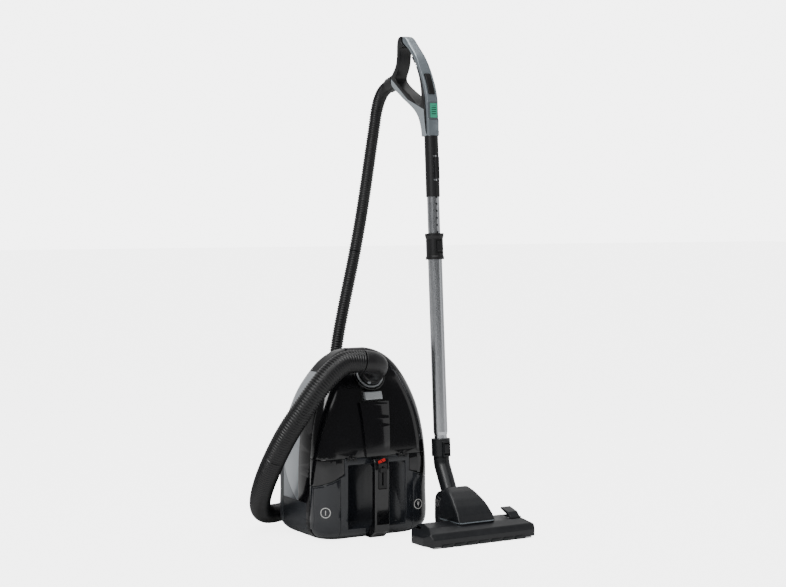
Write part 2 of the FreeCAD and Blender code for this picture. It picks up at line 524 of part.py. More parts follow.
def wand():
    narrow = OUTER_TUBE_RADIUS - TUBE_SHRINK
    save_on_wand("outer_tube", turned([
        (narrow, -34), (narrow, 8), (OUTER_TUBE_RADIUS, 16), (OUTER_TUBE_RADIUS, TUBE_TOP),
        (OUTER_TUBE_RADIUS - TUBE_WALL, TUBE_TOP), (OUTER_TUBE_RADIUS - TUBE_WALL, 17),
        (narrow - TUBE_WALL, 9), (narrow - TUBE_WALL, -34)]))
    bore = INNER_TUBE_RADIUS + 0.35
    collar = turned([
        (COLLAR_RADIUS - 0.5, COLLAR_BOTTOM), (COLLAR_RADIUS - 0.5, COLLAR_BOTTOM + 6),
        (COLLAR_RADIUS - 2, COLLAR_BOTTOM + 9), (COLLAR_RADIUS - 2, COLLAR_TOP - 13),
        (COLLAR_RADIUS, COLLAR_TOP - 6), (COLLAR_RADIUS, COLLAR_TOP), (bore, COLLAR_TOP),
        (bore, TUBE_TOP), (OUTER_TUBE_RADIUS, TUBE_TOP), (OUTER_TUBE_RADIUS, COLLAR_BOTTOM)])
    slot = box((-7.4, 7.4), (-FAR, -OUTER_TUBE_RADIUS - 0.4), (COLLAR_BOTTOM + 15, COLLAR_TOP - 15))
    save_on_wand("tube_collar", collar.cut(slot))
    save_on_wand("collar_release", rounded_block(
        (-7, 7), (-COLLAR_RADIUS - 2.5, -OUTER_TUBE_RADIUS - 0.8), (COLLAR_BOTTOM + 19, COLLAR_TOP - 19), 1.5))
    inner = tube((0, 0, INNER_BOTTOM), (0, 0, 1), INNER_TUBE_RADIUS, INNER_TUBE_RADIUS - TUBE_WALL,
                 INNER_TOP - INNER_BOTTOM)
    for k in range(DETENTS):
        inner = inner.cut(rod((0, -INNER_TUBE_RADIUS - 2, DETENT_FIRST + DETENT_PITCH * k), (0, 1, 0), 2.6, 4))
    save_on_wand("inner_tube", inner)


def smooth_region(outline, half):
    """A prism of the given half width over a smooth outline of (y, z) points."""
    curve = Part.BSplineCurve()
    curve.interpolate([V(-half, y, z) for y, z in outline])
    foot = Part.LineSegment(curve.EndPoint, curve.StartPoint).toShape()
    return Part.Face(Part.Wire([curve.toShape(), foot])).extrude(V(2 * half, 0, 0))


def pad_block(half, proud, deep, longer):
    """A plate that follows the handle's front, proud of it and let into it."""
    (y0, z0), (y1, z1) = PAD_FRONT[0], PAD_FRONT[-1]
    along = V(0, y1 - y0, z1 - z0).normalize()
    outward = V(0, -along.z, along.y)
    points = [V(0, y, z) for y, z in PAD_FRONT]
    points[0], points[-1] = points[0] - along * longer, points[-1] + along * longer
    ring_points = [p + outward * proud for p in points] + [p - outward * deep for p in reversed(points)]
    return prism([(p.y, p.z) for p in ring_points], "YZ", -half, half)


def handle():
    loop = smooth_region(HANDLE_OUTSIDE, HANDLE_HALF)
    window = loop_face(HANDLE_WINDOW, -FAR).extrude(V(2 * FAR, 0, 0))
    zone = [(-60, 700), (-60, 1100), (100, 1100)] + list(reversed(SPINE_BACK))
    zone[-1] = (SPINE_BACK[0][0], 700)
    front_zone = prism(zone, "YZ", -FAR, FAR)
    frame = loop.cut(window).cut(front_zone)
    seat = rod(CUFF_AT - CUFF_AXIS * 6.2, CUFF_AXIS, CUFF_STUB + FIT, 60)
    cuff_room = rod(CUFF_AT + CUFF_AXIS * 5.2, CUFF_AXIS, CUFF_OUTER + 0.5, 40)
    save_on_wand("handle_frame", frame.cut(seat).cut(cuff_room))
    spine = smooth_region(HANDLE_OUTSIDE, SPINE_HALF).common(front_zone).cut(window)
    display_y = (-16.0, -11.4)
    spine = spine.cut(box((-FAR, FAR), (-FAR, display_y[1]), (DISPLAY_BOTTOM - 0.2, DISPLAY_TOP + 0.2)))
    spine = spine.cut(pad_block(PAD_HALF + 0.4, 20, PAD_DEEP + 0.6, 0.4))
    save_on_wand("handle_spine", spine)
    save_on_wand("display", rounded_block((-DISPLAY_HALF, DISPLAY_HALF), display_y,
                                          (DISPLAY_BOTTOM, DISPLAY_TOP), 1.5))
    save_on_wand("mode_rocker", pad_block(PAD_HALF, PAD_PROUD, PAD_DEEP - 2, 0))

    sleeve = tube((0, 0, SLEEVE_BOTTOM), (0, 0, 1), SLEEVE_RADIUS, INNER_TUBE_RADIUS, SLEEVE_TOP - SLEEVE_BOTTOM)
    sleeve = sleeve.cut(box((-6.4, 6.4), (-FAR, -INNER_TUBE_RADIUS + 3), (LATCH_BOTTOM - 4, LATCH_TOP + 4)))
    save_on_wand("handle_sleeve", sleeve)
    save_on_wand("tube_latch", rounded_block((-6, 6), (-26, -INNER_TUBE_RADIUS - 3.3),
                                             (LATCH_BOTTOM, LATCH_TOP), 3))
    cuff = rod(CUFF_AT + CUFF_AXIS * 5.5, CUFF_AXIS, CUFF_OUTER, 32.5)
    cuff = cuff.fuse(rod(CUFF_AT - CUFF_AXIS * 6, CUFF_AXIS, CUFF_STUB, 16))
    save_on_wand("hose_cuff", cuff.cut(rod(CUFF_AT - CUFF_AXIS * 10, CUFF_AXIS, CUFF_BORE, 60)))
    print("cuff end", wand_point(*(CUFF_AT + CUFF_AXIS * 38)))


# ================================================================ neck and nozzle
def across(radius, half):
    """A cylinder about the nozzle's pivot."""
    return rod((WAND_FOOT.x - half, PIVOT_Y, PIVOT_Z), (1, 0, 0), radius, 2 * half)


def neck():
    x = WAND_FOOT.x
    bore = rod((0, 0, -NECK_LENGTH), (0, 0, 1), OUTER_TUBE_RADIUS - TUBE_SHRINK + 0.3, NECK_LENGTH)
    sleeve = rod((0, 0, -NECK_LENGTH), (0, 0, 1), NECK_RADIUS, NECK_LENGTH)
    sleeve = sleeve.fuse(box((-10.5, 10.5), (-27, 0), (-NECK_LENGTH, -6))).cut(bore)
    save_on_wand("neck_collar", sleeve.cut(box((-8.4, 8.4), (-FAR, -23.4), (-38, -10))))
    save_on_wand("neck_button", rounded_block((-8, 8), (-30, -23.8), (-34.5, -13), 1.5))

    top = wand_point(0, 0, -NECK_LENGTH)
    corners = [V(x, y, z) for y, z in NECK_KNEE]
    end = V(x, PIVOT_Y, PIVOT_Z)
    path = rounded_path([top] + corners + [end])
    axis = (corners[0] - top).normalize()
    solid, bore = (path.makePipeShell([Part.Wire(Part.makeCircle(r, top, axis))], True, True)
                   for r in (PIPE_RADIUS, PIPE_RADIUS - 3))
    barrel = across(BARREL_RADIUS, BARREL_HALF)
    pipe = solid.fuse(barrel).cut(across(BARREL_RADIUS - 3, BARREL_HALF - 3)).cut(bore)
    mouth = box((x - 20, x + 20), (PIVOT_Y - 40, PIVOT_Y), (PIVOT_Z - 20, PIVOT_Z + 6))
    pipe = pipe.cut(mouth).cut(across(PIVOT_RADIUS + FIT, BARREL_HALF + 5))
    save("neck_pipe", one(pipe.cut(on_wand(rod((0, 0, -NECK_LENGTH), (0, 0, 1), 60, 60)))))


def rounded_path(points):
    """Straight runs joined by tangent arcs."""
    edges, here = [], points[0]
    for before_point, corner, after_point in zip(points, points[1:], points[2:]):
        before, after = (corner - before_point).normalize(), (after_point - corner).normalize()
        turn = before.getAngle(after)
        reach = 0.45 * min((corner - before_point).Length, (after_point - corner).Length)
        a, b = corner - before * reach, corner + after * reach
        inward = (after - before).normalize()
        radius = reach / tan(turn / 2)
        middle = corner + inward * (sqrt(radius ** 2 + reach ** 2) - radius)
        edges += [Part.LineSegment(here, a).toShape(), Part.Arc(a, middle, b).toShape()]
        here = b
    edges.append(Part.LineSegment(here, points[-1]).toShape())
    return Part.Wire(edges)


def dome(inset):
    """The hump over the neck's barrel, offset inwards by inset."""
    x = WAND_FOOT.x
    middle_y, middle_z = -190.0, 60.0
    profile = []
    for y, z in HUMP_PROFILE:
        away = V(0, y - middle_y, z - middle_z)
        shrunk = away * (1 - inset / away.Length)
        profile.append((middle_y + shrunk.y, middle_z + shrunk.z) if inset else (y, z))
    low, high = HUMP_SIDE - inset, HUMP_TOP_SIDE - inset
    side = [(low, 20), (low, 60), (low - 3, 84), ((low + high) / 2, 106), (high, 126)]
    ends = prism([(x + a, b) for a, b in side] + [(x - a, b) for a, b in reversed(side)], "XZ", -FAR, 0)
    return prism(profile, "YZ", x - FAR / 2, x + FAR / 2).common(ends)


def nozzle():
    x = WAND_FOOT.x
    x0, x1 = x - NOZZLE_HALF, x + NOZZLE_HALF
    front, back, top = NOZZLE_FRONT, NOZZLE_BACK, NOZZLE_HEIGHT
    profile = [(front, 4), (front - 2, 22), (front + 8, 34), (front + 34, 43), (back - 18, top),
               (back - 4, top - 3), (back, top - 12), (back, 4)]
    plan = [(x0, front + 26), (x0 + 12, front - 4), (x1 - 12, front - 4), (x1, front + 26),
            (x1, back - 16), (x1 - 12, back + 4), (x0 + 12, back + 4), (x0, back - 16)]
    ends = [(x0, 0), (x0, 26), (x0 + 30, top + 1), (x1 - 30, top + 1), (x1, 26), (x1, 0)]
    full = prism(profile, "YZ", x0, x1).common(prism(plan, "XY", 0, 100)).common(prism(ends, "XZ", -400, 0))
    saddle = box((x - HUMP_SIDE, x + HUMP_SIDE), (back - 10, -178), (8, 46))
    full = full.fuse(saddle)
    hollow = prism([(front + 3, 0), (front + 3, 20), (front + 12, 31), (back - 8, top - 6), (back - 3, 30),
                    (back - 3, 0)], "YZ", x0 + 16, x1 - 16)
    body = full.cut(hollow)
    for side in (-1, 1):
        low, high = sorted((x + side * YOKE_INNER, x + side * YOKE_OUTER))
        body = body.fuse(prism([(-184, 8), (-184, 44), (PIVOT_Y - 14, PIVOT_Z + 10), (PIVOT_Y, PIVOT_Z + 16),
                                (PIVOT_Y + 13, PIVOT_Z + 8), (PIVOT_Y + 14, PIVOT_Z - 30),
                                (PIVOT_Y + 10, 6), (PIVOT_Y - 10, 6)], "YZ", low, high))
    body = body.cut(across(PIVOT_RADIUS, 60))
    body = body.cut(rod((x - 60, PIVOT_Y, NOZZLE_WHEEL_RADIUS), (1, 0, 0), 3 + FIT, 120))
    pedal_x, pedal_z = x + PEDAL_AT, top - 4
    hinge_y = front + 46
    pedal_room = box((pedal_x - PEDAL_HALF - 1, pedal_x + PEDAL_HALF + 1), (front + 36, back - 6),
                     (top - 12, top + 10))
    body = body.cut(pedal_room).cut(rod((pedal_x - 20, hinge_y, pedal_z), (1, 0, 0), 2, 40))
    save("nozzle_housing", one(body))
    shell = dome(0).cut(dome(3)).cut(box((-FAR, FAR), (-176, FAR), (-FAR, FAR)))
    save("hump_cover", one(shell.cut(full).cut(body)))

    pins = [rod((pedal_x - 20, hinge_y, pedal_z), (1, 0, 0), 2, 40)]
    for side in (-1, 1):
        pin = rod((x + side * (YOKE_INNER - 7), PIVOT_Y, PIVOT_Z), (side, 0, 0), PIVOT_RADIUS,
                  YOKE_OUTER - YOKE_INNER + 8)
        pins.append(pin)
    save("nozzle_pins", *pins)
    plate = box((x0 + 17, x1 - 17), (front + 4, back - 4), (0, 3.4))
    plate = plate.cut(box((x0 + 40, x1 - 40), (front + 26, front + 52), (-1, 5)))
    rows = (front + 10, back - 18)
    for y in rows:
        plate = plate.cut(box((x0 + 24, x1 - 24), (y, y + 8), (-1, 5)))
    save("sole_plate", plate)
    brushes = [box((x0 + 26, x1 - 26), (y + 1.2, y + 6.8), (0.3, 16)) for y in rows]
    bridge = box((x0 + 26, x1 - 26), (front + 11.2, back - 11.2), (12, 15))
    bridge = bridge.cut(box((x0 + 50, x1 - 50), (front + 24, back - 22), (0, 30)))
    save("brush_strip", one(brushes[0].fuse([brushes[1], bridge])))
    pedal = prism([(front + 40, top - 7), (front + 40, top - 2), (front + 52, top + 9), (back - 10, top + 17),
                   (back - 9, top + 13), (front + 56, top + 2), (front + 58, top - 7)], "YZ",
                  pedal_x - PEDAL_HALF, pedal_x + PEDAL_HALF)
    save("nozzle_pedal", one(pedal.cut(rod((pedal_x - 20, hinge_y, pedal_z), (1, 0, 0), 2 + FIT, 40))))
    wheels = rod((x - YOKE_OUTER - 9, PIVOT_Y, NOZZLE_WHEEL_RADIUS), (1, 0, 0), 3, 2 * YOKE_OUTER + 18)
    for side in (-1, 1):
        wheels = wheels.fuse(rod((x + side * (YOKE_OUTER + 1), PIVOT_Y, NOZZLE_WHEEL_RADIUS), (side, 0, 0),
                                 NOZZLE_WHEEL_RADIUS, 8))
    save("nozzle_wheels", one(wheels))


# ================================================================ hose
def hose():
    """Straight runs joined by tangent arcs, as large as the runs allow, in three diameters."""
    points = [V(*p) for p in HOSE_ROUTE]
    runs = [(b - a).Length for a, b in zip(points, points[1:])]
    edges, here, radii = [[]], points[0], []
    for k in range(1, len(points) - 1):
        before, after = (points[k] - points[k - 1]).normalize(), (points[k + 1] - points[k]).normalize()
        turn = acos(max(-1.0, min(1.0, before.dot(after))))
        reach = 0.45 * min(runs[k - 1], runs[k])
        radius = reach / tan(turn / 2)
        a, b = points[k] - before * reach, points[k] + after * reach
        inward = (after - before).normalize()
        centre = points[k] + inward * sqrt(radius ** 2 + reach ** 2)
        middle = centre - inward * radius
        edges[-1].append(Part.LineSegment(here, a).toShape())
        edges[-1].append(Part.Arc(a, middle, b).toShape())
        radii.append(radius)
        here = b
        if k in HOSE_SPLITS:
            joint = (points[k] + points[k + 1]) * 0.5
            edges[-1].append(Part.LineSegment(here, joint).toShape())
            edges.append([])
            here = joint
    edges[-1].append(Part.LineSegment(here, points[-1]).toShape())
    total = 0.0
    for name, diameter, run in zip(("hose_lower", "hose_middle", "hose_upper"), HOSE_DIAMETERS, edges):
        path = Part.Wire(run)
        start = path.Vertexes[0].Point
        first = run[0]
        direction = first.tangentAt(first.FirstParameter)
        circle = Part.Wire(Part.makeCircle(diameter / 2, run[0].valueAt(run[0].FirstParameter), direction))
        solid = path.makePipeShell([circle], True, True)
        print(name, "length %.0f" % path.Length, "volume / section / length %.4f"
              % (solid.Volume / (pi * diameter ** 2 / 4) / path.Length))
        total += path.Length
        save(name, solid)
    print("hose length %.0f, radii" % total, [round(r) for r in radii])


NODES = []


def build():
    os.makedirs("parts", exist_ok=True)
    lid, base = canister_covers()
    chassis(base)
    underside()
    grip()
    lid_group(lid)
    works()
    wand()
    handle()
    neck()
    nozzle()
    hose()
    print(len(NODES), "nodes")


build()
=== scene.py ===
# %% [markdown]
# # A canister vacuum cleaner, parked on its rear end
# The hard parts of this cleaner come from a CAD model, which is loaded as a fixed frame. This lesson adds what
# the eye sees: the ribbed hose, softened edges, small details, and a finish for every piece. Each step says what
# the piece is on the real cleaner, how it could be made, and why this way was chosen. Sizes are in metres.

# %% Load the frame
import json
from math import cos, pi, radians, sin

import bpy
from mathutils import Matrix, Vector


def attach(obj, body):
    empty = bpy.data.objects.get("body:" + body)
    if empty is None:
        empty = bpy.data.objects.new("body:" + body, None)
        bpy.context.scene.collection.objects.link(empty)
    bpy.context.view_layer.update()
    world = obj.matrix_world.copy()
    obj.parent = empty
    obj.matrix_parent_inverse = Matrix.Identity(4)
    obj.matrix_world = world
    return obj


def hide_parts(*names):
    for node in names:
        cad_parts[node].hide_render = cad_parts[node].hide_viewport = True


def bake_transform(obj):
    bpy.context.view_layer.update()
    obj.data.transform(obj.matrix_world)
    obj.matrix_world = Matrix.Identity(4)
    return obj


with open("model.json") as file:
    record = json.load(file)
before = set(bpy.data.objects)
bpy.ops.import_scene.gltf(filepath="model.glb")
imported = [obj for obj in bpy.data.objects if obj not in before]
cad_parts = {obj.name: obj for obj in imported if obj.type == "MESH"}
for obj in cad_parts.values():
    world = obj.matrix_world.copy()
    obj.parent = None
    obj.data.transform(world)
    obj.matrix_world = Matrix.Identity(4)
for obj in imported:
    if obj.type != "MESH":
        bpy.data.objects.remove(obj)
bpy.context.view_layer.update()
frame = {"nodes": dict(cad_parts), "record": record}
record = frame["record"]
home = {node: body for body, nodes in record["behaviour"]["bodies"].items() for node in nodes}

# %% [markdown]
# ## The camera
# It stands in front of the cleaner and to its left, a little below the middle of the wand, and looks almost level.
# A long lens, 75 mm, keeps the upright tubes upright.

# %% The camera
CAMERA_PLACE = (-1.9651, -3.4545, 0.7708)
LOOKS_DOWN, LOOKS_RIGHT = 2.80, 31                 # degrees
FOCAL_LENGTH, SENSOR_WIDTH = 75.4, 36.0            # millimetres

lens = bpy.data.cameras.new("camera")
lens.lens, lens.sensor_width = FOCAL_LENGTH, SENSOR_WIDTH
camera = bpy.data.objects.new("camera", lens)
camera.location = CAMERA_PLACE
camera.rotation_euler = (radians(90 - LOOKS_DOWN), 0, radians(-LOOKS_RIGHT))
bpy.context.collection.objects.link(camera)
bpy.context.scene.camera = camera
print("camera at", tuple(round(v, 2) for v in camera.location))

# %% [markdown]
# ## The hose
# The real hose is a spirally ribbed plastic tube, 54 mm wide at the elbow and 33 mm at the handle. It leaves the
# elbow to the left, falls in one wide bow to the floor behind the cleaner, and climbs from there to the handle. A
# curve with a bevel would be smooth, so the hose is a mesh of rings set along a smooth curve. The curve is a
# NURBS spline whose control points are the route's points.

# %% The hose's route
HOSE_ROUTE = [
    (-0.0488, -0.1274, 0.4236), (-0.0842, -0.125, 0.428), (-0.126, -0.131, 0.410), (-0.168, -0.133, 0.372),
    (-0.201, -0.121, 0.322), (-0.227, -0.094, 0.268), (-0.240, -0.059, 0.212), (-0.243, -0.016, 0.157),
    (-0.236, 0.032, 0.105), (-0.215, 0.083, 0.063), (-0.179, 0.130, 0.037), (-0.133, 0.166, 0.027),
    (-0.084, 0.188, 0.029), (-0.038, 0.199, 0.046), (-0.003, 0.203, 0.080), (0.019, 0.201, 0.127),
    (0.031, 0.195, 0.186), (0.037, 0.188, 0.262), (0.042, 0.182, 0.345), (0.052, 0.180, 0.440),
    (0.077, 0.183, 0.545), (0.105, 0.189, 0.646), (0.131, 0.196, 0.748), (0.153, 0.203, 0.850),
    (0.169, 0.207, 0.935), (0.178, 0.206, 0.990), (0.180, 0.199, 1.030), (0.180, 0.183, 1.062),
    (0.180, 0.1586, 1.0846), (0.180, 0.1299, 1.0924)]


def points_along(route, steps):
    """Points of the smooth curve that has the route as its control points."""
    data = bpy.data.curves.new("hose line", "CURVE")
    data.dimensions, data.resolution_u = "3D", steps
    spline = data.splines.new("NURBS")
    spline.points.add(len(route) - 1)
    for point, place in zip(spline.points, route):
        point.co = (*place, 1)
    spline.order_u, spline.use_endpoint_u = 3, True
    holder = bpy.data.objects.new("hose line", data)
    bpy.context.collection.objects.link(holder)
    bpy.context.view_layer.update()
    line = bpy.data.meshes.new_from_object(holder)
    found = [vertex.co.copy() for vertex in line.vertices]
    bpy.data.objects.remove(holder)
    return found


hose_line = points_along(HOSE_ROUTE, 40)
travelled = [0.0]
for one, other in zip(hose_line, hose_line[1:]):
    travelled.append(travelled[-1] + (other - one).length)
HOSE_LENGTH = travelled[-1]
print("hose", round(HOSE_LENGTH, 3), "m long")

# %% [markdown]
# The ribs are about 6 mm apart. One rib is four rings: two on its rounded crest and two in the groove beside it.
# The rings are carried along the curve without twist, so the mesh stays straight-grained. Each ring keeps how far
# along the hose it lies, so that the hose can be cut between two ribs.

# %% A ribbed tube from rings
RIB, AROUND = 0.0062, 28                           # rib spacing, and vertices in a ring
PROFILE = [(0.0, 0.0), (0.22, 0.55), (0.5, 1.0), (0.78, 0.55)]     # (share of the rib, height above the groove)
GROOVE = 0.0030                                    # depth of the groove
WIDE_RADIUS, NARROW_RADIUS = 0.0270, 0.0165
TAPER_START, TAPER_LENGTH = 0.40, 0.70             # distances along the hose


def place_at(distance):
    """The point and direction of the hose's line at a distance along it."""
    index = 0
    while index < len(travelled) - 2 and travelled[index + 1] < distance:
        index += 1
    span = travelled[index + 1] - travelled[index]
    share = (distance - travelled[index]) / span
    before, after = hose_line[index], hose_line[index + 1]
    return before.lerp(after, share), (after - before).normalized()


def hose_radius(distance):
    """54 mm across at the elbow, falling to 33 mm behind the cleaner."""
    share = min(1.0, max(0.0, (distance - TAPER_START) / TAPER_LENGTH))
    return WIDE_RADIUS - (WIDE_RADIUS - NARROW_RADIUS) * share


ring_list = []
side = Vector((0, 0, 1))
for rib in range(int(HOSE_LENGTH / RIB)):
    for share, height in PROFILE:
        distance = (rib + share) * RIB
        centre, along = place_at(distance)
        side = (side - along * side.dot(along)).normalized()
        radius = hose_radius(distance) - GROOVE * (1 - height)
        ring_list.append((distance, centre, side.copy(), along.cross(side), radius))
centre, along = place_at(HOSE_LENGTH)
ring_list.append((HOSE_LENGTH, centre, side, along.cross(side), hose_radius(HOSE_LENGTH) - GROOVE))
print(len(ring_list), "rings")
SAME_RING = 1e-6                                   # distances closer than this are one ring


def hose_piece(name, first, last):
    """A length of hose between two distances; its ends are the neighbours' own rings."""
    rings = [ring for ring in ring_list if first - SAME_RING <= ring[0] <= last + SAME_RING]
    vertices, faces = [], []
    for _, centre, up, across, radius in rings:
        for step in range(AROUND):
            turn = 2 * pi * step / AROUND
            vertices.append(centre + (up * cos(turn) + across * sin(turn)) * radius)
    for row in range(len(rings) - 1):
        for step in range(AROUND):
            a, b = row * AROUND + step, row * AROUND + (step + 1) % AROUND
            faces.append((a, b, b + AROUND, a + AROUND))
    mesh = bpy.data.meshes.new(name)
    mesh.from_pydata(vertices, [], faces)
    mesh.polygons.foreach_set("use_smooth", [True] * len(faces))
    piece = bpy.data.objects.new(name, mesh)
    bpy.context.collection.objects.link(piece)
    return piece, [tuple(ring[1]) for ring in rings]


# %% [markdown]
# The lid, the elbow, the wand and the handle all move, and the real hose bends with them. A mesh can bend across
# one joint only, so the hose is made as four pieces that meet on a shared ring: elbow to lid, lid to canister,
# canister to wand, and wand to handle. Here the pieces are made, but they are not tied to those moving parts.

# %% Four lengths of hose
def rib_edge(distance):
    """The nearest groove to a distance along the hose."""
    return round(distance / RIB) * RIB


CUTS = [0.0, rib_edge(0.340), rib_edge(0.76), rib_edge(1.42), HOSE_LENGTH]
HOSE_JOINTS = [
    ("hose_at_elbow", "elbow", "lid_body", ("hose_lower",)),
    ("hose_bow", "lid_body", "canister", ("hose_middle",)),
    ("hose_rise", "canister", "wand", ("hose_upper",)),
    ("hose_at_handle", "wand", "handle", ())]
hose_pieces = []
for (name, one, other, nodes), first, last in zip(HOSE_JOINTS, CUTS, CUTS[1:]):
    piece, path = hose_piece(name, first, last)
    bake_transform(piece)
    if nodes:
        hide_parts(*nodes)
    2 * hose_radius((first + last) / 2)
    hose_pieces.append(piece)
    print(name, "from", round(first, 3), "to", round(last, 3))

# %% [markdown]
# ## Shader maths
# A finish is a tree of nodes. Written out one node at a time it hides what it does, so one small class wraps a
# number on its way through the tree and lets Python's own operators add the Math nodes.

# %% A number in a node tree
class Wire:
    """A socket whose operators add Math nodes to its tree."""

    def __init__(self, tree, socket):
        self.tree, self.socket = tree, socket

    def maths(self, operation, *values):
        node = self.tree.nodes.new("ShaderNodeMath")
        node.operation = operation
        for entry, value in zip(node.inputs, values):
            if isinstance(value, Wire):
                self.tree.links.new(value.socket, entry)
            else:
                entry.default_value = value
        return Wire(self.tree, node.outputs[0])

    def __add__(self, other):
        return self.maths("ADD", self, other)

    def __sub__(self, other):
        return self.maths("SUBTRACT", self, other)

    def __rsub__(self, other):
        return self.maths("SUBTRACT", other, self)

    def __mul__(self, other):
        return self.maths("MULTIPLY", self, other)

    def __pow__(self, other):
        return self.maths("POWER", self, other)

    def __lt__(self, other):
        return self.maths("LESS_THAN", self, other)

    def __gt__(self, other):
        return self.maths("GREATER_THAN", self, other)

    def __abs__(self):
        return self.maths("ABSOLUTE", self)

    __radd__, __rmul__ = __add__, __mul__


# %% [markdown]
# A finish starts from Object coordinates, because every mesh lies in the cleaner's own frame, and so a pattern has
# the same size on every piece. Its one method adds any other node: first its settings, then its sockets.

# %% A finish
COAT_ROUGHNESS, BUMP_STRENGTH = 0.06, 0.6


class Finish:
    """A material on its way to being finished: x, y and z are the place on the cleaner."""

    def __init__(self, name, colour, roughness, metallic=0.0, coat=0.0):
        self.material = bpy.data.materials.new(name)
        self.material.use_nodes = True
        self.tree = self.material.node_tree
        self.shader = next(node for node in self.tree.nodes if node.type == "BSDF_PRINCIPLED")
        self.feed(self.shader, {"Base Color": (*colour, 1), "Roughness": roughness, "Metallic": metallic,
                                "Coat Weight": coat, "Coat Roughness": COAT_ROUGHNESS})
        self.colour = (*colour, 1)
        self.place = self.add("ShaderNodeTexCoord").outputs["Object"]
        parts = self.add("ShaderNodeSeparateXYZ", {}, {"Vector": self.place})
        self.x, self.y, self.z = (Wire(self.tree, parts.outputs[key]) for key in "XYZ")

    def feed(self, node, values):
        """Link or set a node's sockets."""
        for key, value in values.items():
            if isinstance(value, Wire):
                self.tree.links.new(value.socket, node.inputs[key])
            elif isinstance(value, bpy.types.NodeSocket):
                self.tree.links.new(value, node.inputs[key])
            else:
                node.inputs[key].default_value = value

    def add(self, kind, settings=None, values=None):
        """Any other node: its settings first, then its sockets."""
        node = self.tree.nodes.new(kind)
        for key, value in (settings or {}).items():
            setattr(node, key, value)
        self.feed(node, values or {})
        return node

    def noise(self, scale, detail=3.0, stretch=(1, 1, 1)):
        """Cloudy noise from 0 to 1; stretch squeezes it along an axis, for streaks."""
        place = self.add("ShaderNodeMapping", {}, {"Vector": self.place, "Scale": stretch}).outputs[0]
        return Wire(self.tree, self.add("ShaderNodeTexNoise", {}, {
            "Vector": place, "Scale": scale, "Detail": detail}).outputs[0])

    def mix(self, mask, first, second):
        """First where the mask is 0, second where it is 1."""
        factor, colour_a, colour_b, colour_out = 0, 6, 7, 2
        values = {factor: mask, colour_a: first, colour_b: second}
        return self.add("ShaderNodeMix", {"data_type": "RGBA"}, values).outputs[colour_out]

    def between(self, value, low, high):
        """1 where the value lies between two limits."""
        return (value > low) * (value < high)

    def finish(self, colour=None, roughness=None, height=None, depth=0.0002):
        """Feed the shader and hand back the material; height is in shares of depth."""
        if colour is not None:
            self.feed(self.shader, {"Base Color": colour})
        if roughness is not None:
            self.feed(self.shader, {"Roughness": roughness})
        if height is not None:
            bump = self.add("ShaderNodeBump", {}, {
                "Strength": BUMP_STRENGTH, "Distance": depth, "Height": height})
            self.feed(self.shader, {"Normal": bump.outputs[0]})
        return self.material


# %% [markdown]
# ## Plastics
# Most of the cleaner is moulded black plastic. The casing is polished, and polish shows wipe marks, a few dust
# specks and a faint waviness. The grips and the nozzle are satin, with a fine spark-eroded grain. One recipe makes
# both; only the numbers differ.

# %% Moulded plastic
def moulded(name, colour, roughness, coat=0.0, grain=900.0, depth=0.00004, wear=0.5):
    f = Finish(name, colour, roughness, coat=coat)
    cloud, wipes, dust = f.noise(7, 4), f.noise(70, 3, (1, 1, 0.08)), f.noise(1500, 1)
    worn = tuple(min(1.0, c * 1.8 + 0.006) for c in colour) + (1,)
    tint = f.mix((cloud - 0.4) * wear + (dust > 0.74) * 0.35, f.colour, worn)
    shine = roughness + (cloud - 0.5) * 0.14 + (wipes - 0.5) * 0.10 * (1 + wear)
    return f.finish(tint, shine, f.noise(grain, 2) + cloud * 0.4, depth)


# The rear cover and the pedals are lighter and bluer than the casing black. This is painted sheen: the white
# floor's reflection is put into their colour.
COVER_PAINTED_SHEEN_COLOUR = (0.014, 0.016, 0.020)
gloss = moulded("casing gloss", (0.0035, 0.0035, 0.0045), 0.12, coat=0.4, grain=26, depth=0.00005, wear=0.35)
cover_painted_sheen = moulded("cover painted sheen", COVER_PAINTED_SHEEN_COLOUR, 0.20, coat=0.3, grain=26, depth=0.00004, wear=0.5)
satin = moulded("grip satin", (0.009, 0.009, 0.010), 0.38, grain=1400, depth=0.00005)
nozzle_satin = moulded("nozzle satin", (0.011, 0.012, 0.014), 0.33, grain=1100, depth=0.00007, wear=0.8)
chassis_grey = moulded("chassis grey", (0.045, 0.050, 0.056), 0.46, grain=1200, depth=0.00006, wear=0.7)
rubber = moulded("wheel rubber", (0.014, 0.014, 0.014), 0.68, grain=700, depth=0.0001, wear=0.9)
works_black = moulded("works plastic", (0.02, 0.02, 0.022), 0.5)
board_green = moulded("circuit board", (0.02, 0.12, 0.05), 0.45)
print("plastics made")

# %% [markdown]
# The hose is a softer, shinier plastic. Dust settles in its grooves and its crests are rubbed, so the colour and
# the gloss change with a fine noise rather than with large clouds.

# %% Hose plastic
f = Finish("hose plastic", (0.007, 0.007, 0.008), 0.27)
rub, fine = f.noise(24, 4), f.noise(420, 3)
hose_finish = f.finish(f.mix((rub - 0.35) * 0.5 + (fine > 0.68) * 0.2, f.colour, (0.03, 0.03, 0.032, 1)),
                       0.22 + rub * 0.16 + fine * 0.06, fine, 0.00008)
for piece in hose_pieces:
    piece.data.materials.append(hose_finish)

# %% [markdown]
# ## Metals
# The wand's tubes are drawn and anodised aluminium: fine lines run along them, and their roughness follows the
# lines. The side panels and the handle's front are painted silver, with flakes too small to see singly.

# %% Metals and paints
def drawn_metal(name, colour, roughness, stretch, lines=900.0):
    f = Finish(name, colour, roughness, metallic=1.0)
    streak, cloud = f.noise(lines, 3, stretch), f.noise(11, 3)
    tint = f.mix((streak - 0.45) * 0.7 + (cloud - 0.5) * 0.25, f.colour, tuple(c * 0.62 for c in colour) + (1,))
    return f.finish(tint, roughness + (streak - 0.5) * 0.22 + (cloud - 0.5) * 0.1, streak, 0.00003)


